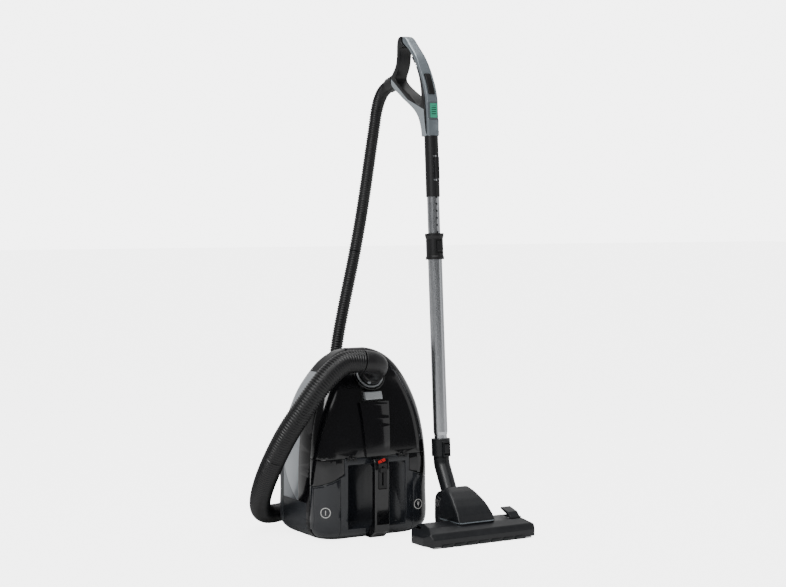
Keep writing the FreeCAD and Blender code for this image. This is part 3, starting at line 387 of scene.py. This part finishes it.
def flake_paint(name, colour, roughness):
    f = Finish(name, colour, roughness, metallic=0.55, coat=0.35)
    cells = Wire(f.tree, f.add("ShaderNodeTexVoronoi", {}, {"Vector": f.place, "Scale": 2600.0}).outputs[0])
    cloud = f.noise(6, 3)
    darker = tuple(c * 0.72 for c in colour) + (1,)
    brighter = tuple(min(1, c * 1.15) for c in colour) + (1,)
    tint = f.mix(cells * 0.5 + (cloud - 0.5) * 0.3, f.colour, darker)
    flakes = f.mix(f.noise(900, 1) > 0.7, tint, brighter)
    return f, flakes, roughness + (cloud - 0.5) * 0.12 + cells * 0.06


tube_metal = drawn_metal("drawn aluminium", (0.66, 0.68, 0.71), 0.24, (1, 1, 0.02))
steel = drawn_metal("turned steel", (0.55, 0.55, 0.56), 0.32, (1, 0.05, 1))
f, tint, shine = flake_paint("handle silver", (0.27, 0.31, 0.34), 0.30)
handle_silver = f.finish(tint, shine, f.noise(700, 2), 0.00002)
f, tint, shine = flake_paint("light silver", (0.60, 0.63, 0.65), 0.34)
light_silver = f.finish(tint, shine, f.noise(700, 2), 0.00002)
f, tint, shine = flake_paint("motor paint", (0.16, 0.16, 0.17), 0.5)
motor_paint = f.finish(tint, shine, f.noise(300, 2), 0.00005)

# %% [markdown]
# The side panel has a curved seam: the part in front of it is light silver, and the part behind it is greyer and
# duller. The seam is one line, so it is a mask in the finish, with a dark groove along it.

# %% Side panel silver
SEAM_FOOT, SEAM_RISE = 0.099, 0.079                # the seam curves over this height, then stays straight
SEAM_START, SEAM_SLOPE, SEAM_CURVE = 0.020, 1.227, 7.8
SEAM_HALF_WIDTH = 0.0009

f, tint, shine = flake_paint("panel silver", (0.50, 0.53, 0.56), 0.30)
rise = (f.z - SEAM_FOOT).maths("MINIMUM", f.z - SEAM_FOOT, SEAM_RISE)
seam = rise * SEAM_SLOPE - rise * rise * SEAM_CURVE + SEAM_START - f.y
behind, groove = seam < 0.0, abs(seam) < SEAM_HALF_WIDTH
rear = f.mix(behind, tint, (0.24, 0.26, 0.285, 1))
panel_silver = f.finish(f.mix(groove, rear, (0.05, 0.055, 0.06, 1)), shine + behind * 0.08,
                        f.noise(700, 2) * 0.3 - groove, 0.0002)

# %% [markdown]
# The mid frame is one moulding, polished where it shows as a dark band beside the lid, and matt grey at the foot
# and behind the side panel.

# %% Mid frame
f = Finish("mid frame plastic", (0.0045, 0.0045, 0.0055), 0.14)
f.feed(f.shader, {"Specular IOR Level": 0.25})
foot = (f.z < 0.087) * (f.y > -0.045) + (f.y > -0.004) * (f.z < 0.392)
foot = foot > 0.5
cloud, grain = f.noise(8, 4), f.noise(1200, 2)
frame_finish = f.finish(f.mix(foot, (0.0045, 0.0045, 0.0055, 1), (0.022, 0.025, 0.030, 1)),
                        0.13 + foot * 0.30 + (cloud - 0.5) * 0.12, grain * foot + cloud * 0.2, 0.00006)

# %% [markdown]
# The handle's loop is black, with a silver band along the outside of its slanting arm. The band lies on the side
# faces only, so the mask needs the distance from the middle plane and the distance from the arm's outer line.

# %% Handle loop
WAND_X = 0.180                                     # the middle plane of the wand, the handle and the nozzle

f = Finish("handle loop", (0.008, 0.008, 0.009), 0.36)
inward = (f.y - 0.0964) * -0.573 + (f.z - 1.0931) * 0.820
wider = (1.050 - f.z).maths("MAXIMUM", 1.050 - f.z, 0.0) * 0.7
beside_front = f.y + 0.0595 < (f.z - 1.0137) * 0.14
band = (abs(f.x - WAND_X) > 0.0120) * (inward < wider + 0.0105) * (f.z < 1.135) * (1 - beside_front)
cloud, grain = f.noise(9, 3), f.noise(1200, 2)
frame_silver = f.finish(f.mix(band, f.mix(grain > 0.7, f.colour, (0.016, 0.016, 0.017, 1)), (0.34, 0.38, 0.41, 1)),
                        0.34 + (cloud - 0.5) * 0.14, grain + band * 0.5, 0.00004)

# %% [markdown]
# ## Marks on the pedals
# Each pedal carries a round mark: a ring with a bar for power, and a ring with a small plug for the rewind. The
# pedal faces the corner of the cleaner, so the mark is drawn in that slanted plane: one axis runs along the
# pedal's face and the other is height.

# %% Pedal finishes
MARK_HEIGHT = 0.071
MARK_RING = (0.0104, 0.0122)                       # inner and outer radius


def pedal_finish(name, side, middle, turn):
    """The mark is centred on (x, y) middle of the pedal's face, which is turned by so many degrees there."""
    # The pedal's base colour is the covers' colour, which holds a painted sheen standing in for the floor's
    # reflection.
    f = Finish(name, COVER_PAINTED_SHEEN_COLOUR, 0.20, coat=0.3)
    along = (f.x * side - middle[0]) * cos(radians(turn)) + (f.y - middle[1]) * sin(radians(turn))
    up = f.z - MARK_HEIGHT
    span = (along * along + up * up) ** 0.5
    mark = f.between(span, *MARK_RING)
    if side < 0:
        mark = mark + (abs(along) < 0.0009) * (abs(up) < 0.0055)
    else:
        mark = mark + (abs(along) < 0.0024) * f.between(up, -0.0015, 0.0035)
        mark = mark + (abs(along) < 0.0008) * f.between(up, -0.0060, -0.0014)
        mark = mark + (abs(abs(along) - 0.0015) < 0.0006) * f.between(up, 0.0034, 0.0062)
    cloud, wipes = f.noise(7, 4), f.noise(70, 3, (1, 1, 0.08))
    mark = mark > 0.5
    dark = f.mix((cloud - 0.4) * 0.3, f.colour, (0.024, 0.026, 0.030, 1))
    return f.finish(f.mix(mark, dark, (0.62, 0.62, 0.60, 1)),
                    0.20 + (cloud - 0.5) * 0.12 + (wipes - 0.5) * 0.1 + mark * 0.3, cloud + mark * 0.6, 0.0001)


power_finish = pedal_finish("power pedal", -1, (0.1356, -0.104), 35)
rewind_finish = pedal_finish("rewind pedal", 1, (0.1139, -0.1118), 5)

# %% [markdown]
# ## The carrying grip and the display
# The grip is polished like the casing. Near its top it has a red wedge that grows to one side, the usual sign for
# suction power, and two small grey marks under it. The handle's display is a green liquid crystal with a row of
# dark bars.

# %% Grip and display finishes
GRIP_FRONT = -0.128                                # marks lie in front of this
DISPLAY_MIDDLE = 1.0188                            # height of the display's middle

f = Finish("carrying grip", (0.0045, 0.0045, 0.0055), 0.13, coat=0.5)
front = f.y < GRIP_FRONT
wedge = f.between(f.x, -0.0105, 0.0105) * f.between(f.z - f.x * 0.28, 0.1835, 0.1895)
stripe = abs(f.x + (f.z - 0.187) * 0.8) < 0.0011
red = front * (wedge * (1 - stripe)) > 0.5
dots = front * ((abs(f.x - 0.005) < 0.0016) + (abs(f.x + 0.005) < 0.0016)) * (abs(f.z - 0.1725) < 0.0022) > 0.5
cloud, wipes = f.noise(7, 4), f.noise(70, 3, (1, 1, 0.08))
black = f.mix((cloud - 0.4) * 0.3, f.colour, (0.012, 0.012, 0.014, 1))
grip_finish = f.finish(f.mix(red, f.mix(dots, black, (0.11, 0.11, 0.11, 1)), (0.55, 0.012, 0.010, 1)),
                       0.13 + (cloud - 0.5) * 0.12 + (wipes - 0.5) * 0.08 + red * 0.2, cloud, 0.0001)

f = Finish("display glass", (0.05, 0.42, 0.26), 0.12, coat=0.6)
level = f.z - DISPLAY_MIDDLE
bar = Wire(f.tree, f.add("ShaderNodeTexWave", {"bands_direction": "Z"}, {
    "Vector": f.place, "Scale": 62.0}).outputs[1])
lit = (bar > 0.62) * (abs(f.x - WAND_X) < 0.0065) * (abs(level) < 0.012)
rim = (abs(f.x - WAND_X) > 0.0102) + (abs(level) > 0.0172) > 0.5
glow = f.mix(f.noise(60, 2) * 0.5, (0.05, 0.42, 0.26, 1), (0.09, 0.52, 0.33, 1))
display_finish = f.finish(f.mix(rim, f.mix(lit, glow, (0.008, 0.05, 0.03, 1)), (0.10, 0.12, 0.13, 1)),
                          0.12 + f.noise(40, 3) * 0.12 + lit * 0.1, lit, 0.00005)
f = Finish("filter felt", (0.62, 0.61, 0.56), 0.9)
felt = f.noise(500, 6) + f.noise(90, 3, (1, 0.2, 1)) * 0.5
felt_finish = f.finish(f.mix(felt * 0.5, f.colour, (0.38, 0.37, 0.33, 1)), 0.86 + f.noise(40) * 0.1, felt, 0.0006)
print("marked finishes made")

# %% [markdown]
# ## Which finish goes where
# Every piece takes its finish from the table below, by the name of the CAD node that it is or stands for.

# %% Finishes of the CAD nodes
FINISHES = {
    gloss: "corner_covers lid lid_spine inlet_boss", cover_painted_sheen: "rear_cover", frame_silver: "handle_frame",
    satin: "hose_elbow hose_cuff tube_collar collar_release handle_sleeve tube_latch mode_rocker"
           " handle_panel power_slider lid_hinges",
    nozzle_satin: "nozzle_housing hump_cover neck_collar neck_button neck_pipe nozzle_pedal",
    chassis_grey: "base_shell filter_cover castor_fork",
    rubber: "rear_wheel_left rear_wheel_right castor_wheel nozzle_wheels brush_strip cord_outlet motor_seals",
    works_black: "motor_housing impeller cord_reel",
    board_green: "control_board", steel: "axles housing_screws motor_shaft nozzle_pins sole_plate",
    light_silver: "inlet_ring lid_catch elbow_button", tube_metal: "outer_tube inner_tube",
    handle_silver: "handle_spine", motor_paint: "motor",
    panel_silver: "side_panels", frame_finish: "mid_frame", power_finish: "power_pedal",
    rewind_finish: "rewind_pedal", grip_finish: "carry_handle", display_finish: "display",
    felt_finish: "exhaust_filter motor_filter dust_bag", hose_finish: "hose_lower hose_middle hose_upper"}
finish_of = {node: material for material, nodes in FINISHES.items() for node in nodes.split()}
for node, item in frame["nodes"].items():
    for socket in item.material_slots:
        socket.material = finish_of[node]
print(len(finish_of), "nodes finished; missing:", sorted(set(frame["nodes"]) - set(finish_of)))

# %% [markdown]
# ## Casings with real edges
# A CAD solid has knife edges, which never catch light. A moulding has edges of about half a millimetre. The way to
# get them is to copy the CAD mesh, weld its triangles, dissolve the flat ones, and bevel what is sharp. The
# frame's own mesh is left alone, and the copy takes its place.

# %% Weld, bevel and shade a copy
WELD_DISTANCE = 0.00002
FLAT_ANGLE, BEVEL_ANGLE, SMOOTH_ANGLE = 0.3, 40, 38    # degrees


def alone(piece):
    """Select one object only, because operators act on all that is selected."""
    bpy.ops.object.select_all(action="DESELECT")
    piece.select_set(True)
    bpy.context.view_layer.objects.active = piece


def welded(node):
    """A copy of a CAD node's mesh, its loose triangles joined into one skin."""
    piece = bpy.data.objects.new(node + "_skin", frame["nodes"][node].data.copy())
    bpy.context.collection.objects.link(piece)
    alone(piece)
    if piece.data.has_custom_normals:
        bpy.ops.mesh.customdata_custom_splitnormals_clear()
    bpy.ops.object.mode_set(mode="EDIT")
    bpy.ops.mesh.select_all(action="SELECT")
    bpy.ops.mesh.remove_doubles(threshold=WELD_DISTANCE)
    bpy.ops.object.mode_set(mode="OBJECT")
    return piece


def install(piece, node):
    """Put a finished piece in a CAD node's place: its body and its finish."""
    for modifier in list(piece.modifiers):
        alone(piece)
        bpy.ops.object.modifier_apply(modifier=modifier.name)
    piece.data.materials.clear()
    piece.data.materials.append(finish_of[node])
    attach(piece, home[node])
    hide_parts(node)


def crisp(node, width):
    """A moulding whose sharp edges are bevelled by width."""
    piece = welded(node)
    bpy.ops.object.mode_set(mode="EDIT")
    bpy.ops.mesh.dissolve_limited(angle_limit=radians(FLAT_ANGLE))
    bpy.ops.object.mode_set(mode="OBJECT")
    bevel = piece.modifiers.new("edge", "BEVEL")
    bevel.width, bevel.segments, bevel.angle_limit = width, 2, radians(BEVEL_ANGLE)
    bevel.use_clamp_overlap = False
    install(piece, node)
    bpy.ops.object.shade_smooth_by_angle(angle=radians(SMOOTH_ANGLE))
    return len(piece.data.polygons)


for node, width in (("rear_cover", 0.0007), ("corner_covers", 0.0007), ("lid", 0.0007), ("lid_spine", 0.0007),
                    ("mid_frame", 0.0004), ("side_panels", 0.0006), ("power_pedal", 0.0008),
                    ("rewind_pedal", 0.0008), ("base_shell", 0.0004)):
    print(node, crisp(node, width), "faces")

# %% [markdown]
# ## Rounded pieces
# The handle, the nozzle, its hump and the buttons have large, flowing roundings that change along their length, so
# a bevel of one width doesn't suit them. They are given an even skin of small faces, which is then relaxed: that
# rounds each edge a little more where two meet, as a mould maker's stone does.

# %% Reskin and relax
def relaxed(node, voxel, passes, share, zone=None):
    """A soft-edged copy: even faces, relaxed, and thinned to the given share.

    With a zone, only what is above its lower height is relaxed, and fully so above its upper height.
    """
    piece = welded(node)
    skin = piece.modifiers.new("skin", "REMESH")
    skin.mode, skin.voxel_size, skin.use_smooth_shade = "VOXEL", voxel, True
    bpy.ops.object.modifier_apply(modifier="skin")
    relax = piece.modifiers.new("relax", "SMOOTH")
    relax.factor, relax.iterations = 0.5, passes
    if zone:
        low, high = zone
        group = piece.vertex_groups.new(name="soft")
        for vertex in piece.data.vertices:
            weight = min(1.0, max(0.0, (vertex.co.z - low) / (high - low)))
            group.add([vertex.index], weight, "REPLACE")
        relax.vertex_group = "soft"
    thin = piece.modifiers.new("thin", "DECIMATE")
    thin.ratio = share
    install(piece, node)
    bpy.ops.object.shade_smooth()
    return len(piece.data.polygons)


for node, voxel, passes, share, *zone in (
        ("handle_frame", 0.0014, 16, 0.5), ("handle_spine", 0.0013, 110, 0.5, (1.13, 1.205)),
        ("nozzle_housing", 0.0014, 12, 0.5), ("hump_cover", 0.0017, 60, 0.6, (0.050, 0.085)),
        ("nozzle_pedal", 0.0007, 8, 0.5), ("neck_collar", 0.0008, 7, 0.4),
        ("neck_button", 0.0006, 6, 0.5), ("neck_pipe", 0.0011, 8, 0.4), ("carry_handle", 0.0011, 6, 0.5),
        ("tube_latch", 0.0006, 7, 0.5), ("mode_rocker", 0.0005, 8, 0.5), ("lid_catch", 0.0006, 8, 0.5),
        ("hose_elbow", 0.0011, 6, 0.4), ("inlet_boss", 0.0011, 5, 0.4), ("collar_release", 0.0006, 5, 0.5)):
    print(node, relaxed(node, voxel, passes, share, *zone), "faces")

# %% [markdown]
# ## The rim round the hump
# Where the hump meets the nozzle there is a thin light line, the rounded lip of its joint. It is a flat frame with
# round corners: a plane, its corners bevelled, inset, the middle taken out, and the rest given thickness.

# %% Hump rim
RIM_PLACE, RIM_SIZE = (WAND_X, -0.2245, 0.0462), (0.105, 0.0935, 1)
RIM_CORNER, RIM_WIDTH, RIM_THICKNESS = 0.012, 0.0022, 0.0030

bpy.ops.object.select_all(action="DESELECT")
bpy.ops.mesh.primitive_plane_add(size=1, location=RIM_PLACE)
rim_piece = bpy.context.object
rim_piece.name = "hump_rim"
bpy.ops.object.mode_set(mode="EDIT")
bpy.ops.transform.resize(value=RIM_SIZE)
bpy.ops.mesh.bevel(offset=RIM_CORNER, segments=5, affect="VERTICES")
bpy.ops.mesh.inset(thickness=RIM_WIDTH)
bpy.ops.mesh.delete(type="FACE")
bpy.ops.object.mode_set(mode="OBJECT")
alone(rim_piece)
bpy.ops.object.transform_apply(location=True, rotation=True, scale=True)
thick = rim_piece.modifiers.new("thick", "SOLIDIFY")
thick.thickness, thick.offset = RIM_THICKNESS, 0.0
edge = rim_piece.modifiers.new("edge", "BEVEL")
edge.width, edge.segments = 0.0009, 2
for modifier in ("thick", "edge"):
    bpy.ops.object.modifier_apply(modifier=modifier)
bpy.ops.object.shade_smooth_by_angle(angle=radians(40))
rim_piece.data.materials.append(handle_silver)
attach(rim_piece, "nozzle")
print("rim", len(rim_piece.data.polygons), "faces")

# %% [markdown]
# ## Teeth along the nozzle's front
# The lower front edge has a row of blocks with gaps between them, which let coarse dirt in. One block is modelled:
# a cube, flattened and bevelled. It is made seven times, each time with its own mesh, and joined to one strip.

# %% Front teeth
TOOTH_SIZE, TOOTH_SPACING = (0.0290, 0.005, 0.009), 0.0340
TOOTH_Y, TOOTH_Z = -0.2995, 0.0052


def tooth(x):
    """One block of the row, at its place along the nozzle."""
    bpy.ops.object.select_all(action="DESELECT")
    bpy.ops.mesh.primitive_cube_add(size=1, location=(x, TOOTH_Y, TOOTH_Z))
    block = bpy.context.object
    bpy.ops.object.mode_set(mode="EDIT")
    bpy.ops.transform.resize(value=TOOTH_SIZE)
    bpy.ops.mesh.bevel(offset=0.0012, segments=2, affect="EDGES")
    bpy.ops.object.mode_set(mode="OBJECT")
    return block


teeth = [tooth(WAND_X + TOOTH_SPACING * step) for step in range(-3, 4)]
bpy.ops.object.select_all(action="DESELECT")
for block in teeth:
    block.select_set(True)
bpy.context.view_layer.objects.active = teeth[0]
bpy.ops.object.join()
teeth_strip = bpy.context.object
teeth_strip.name = "front_teeth"
bpy.ops.object.transform_apply(location=True, rotation=True, scale=True)
bpy.ops.object.shade_smooth_by_angle(angle=radians(40))
teeth_strip.data.materials.append(nozzle_satin)
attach(teeth_strip, "nozzle")
print("teeth", len(teeth_strip.data.polygons), "faces")

# %% [markdown]
# ## Floor and light
# The cleaner stands on a plain white floor. A large soft lamp from the upper left models the casing, and a wide dim
# one on the right draws the line down the tubes. Black gloss shows what surrounds it, so the room is bright behind
# the cleaner and dim on the camera's side, as a studio is.

# %% Floor
FLOOR_SIZE, FLOOR_DROP = 60, 0.0004                # the floor lies a hair below the wheels
FLOOR_GLOW, SKY_GLOW = 4.2, 4.5                    # what the camera sees of the floor and of the room

bpy.ops.object.select_all(action="DESELECT")
bpy.ops.mesh.primitive_plane_add(size=FLOOR_SIZE, location=(0, 0, -FLOOR_DROP))
floor = bpy.context.object
floor.name = "floor"
f = Finish("floor white", (0.86, 0.86, 0.86), 0.7)
seen = Wire(f.tree, f.add("ShaderNodeLightPath").outputs["Is Camera Ray"])
f.feed(f.shader, {"Emission Color": (1, 1, 1, 1), "Emission Strength": seen * FLOOR_GLOW})
floor.data.materials.append(f.finish(None, 0.68 + f.noise(3, 3) * 0.05))


# %% Lights
def soft_lamp(name, place, target, width, height, power):
    """A rectangular lamp at a place, turned to a target."""
    lamp = bpy.data.lights.new(name, "AREA")
    lamp.shape, lamp.size, lamp.size_y, lamp.energy = "RECTANGLE", width, height, power
    holder = bpy.data.objects.new(name, lamp)
    holder.location = place
    holder.rotation_euler = (Vector(target) - Vector(place)).to_track_quat("-Z", "Y").to_euler()
    bpy.context.collection.objects.link(holder)


soft_lamp("key", (-2.6, -1.6, 2.6), (0, 0, 0.4), 1.6, 1.6, 60)
soft_lamp("right glow", (2.4, -1.9, 1.2), (0.1, 0, 0.5), 1.2, 2.2, 5)
soft_lamp("top", (0.4, 0.2, 3.2), (0.1, 0, 0.5), 1.2, 1.2, 22)
sun = bpy.data.lights.new("even light", "SUN")
sun.energy, sun.angle = 1.2, radians(60)
sun_holder = bpy.data.objects.new("even light", sun)
sun_holder.rotation_euler = (radians(25), radians(-15), 0)
bpy.context.collection.objects.link(sun_holder)

# %% The room
AWAY_X, AWAY_Y = 0.515, 0.857                      # the way the camera looks, on the floor
ROOM_BEHIND, ROOM_ALL_ROUND = 0.85, 0.10           # its strength behind the cleaner, and everywhere

world = bpy.data.worlds.new("studio")
bpy.context.scene.world = world
world.use_nodes = True
tree = world.node_tree
sky = tree.nodes["Background"]
ray = tree.nodes.new("ShaderNodeLightPath")
look = tree.nodes.new("ShaderNodeSeparateXYZ")
tree.links.new(tree.nodes.new("ShaderNodeTexCoord").outputs["Generated"], look.inputs[0])
behind = Wire(tree, look.outputs[0]) * AWAY_X + Wire(tree, look.outputs[1]) * AWAY_Y
behind = behind.maths("MAXIMUM", behind, 0.0)
strength = Wire(tree, ray.outputs["Is Camera Ray"]) * SKY_GLOW + behind * ROOM_BEHIND + ROOM_ALL_ROUND
sky.inputs["Color"].default_value = (1, 1, 1, 1)
tree.links.new(strength.socket, sky.inputs["Strength"])
print("lights made")
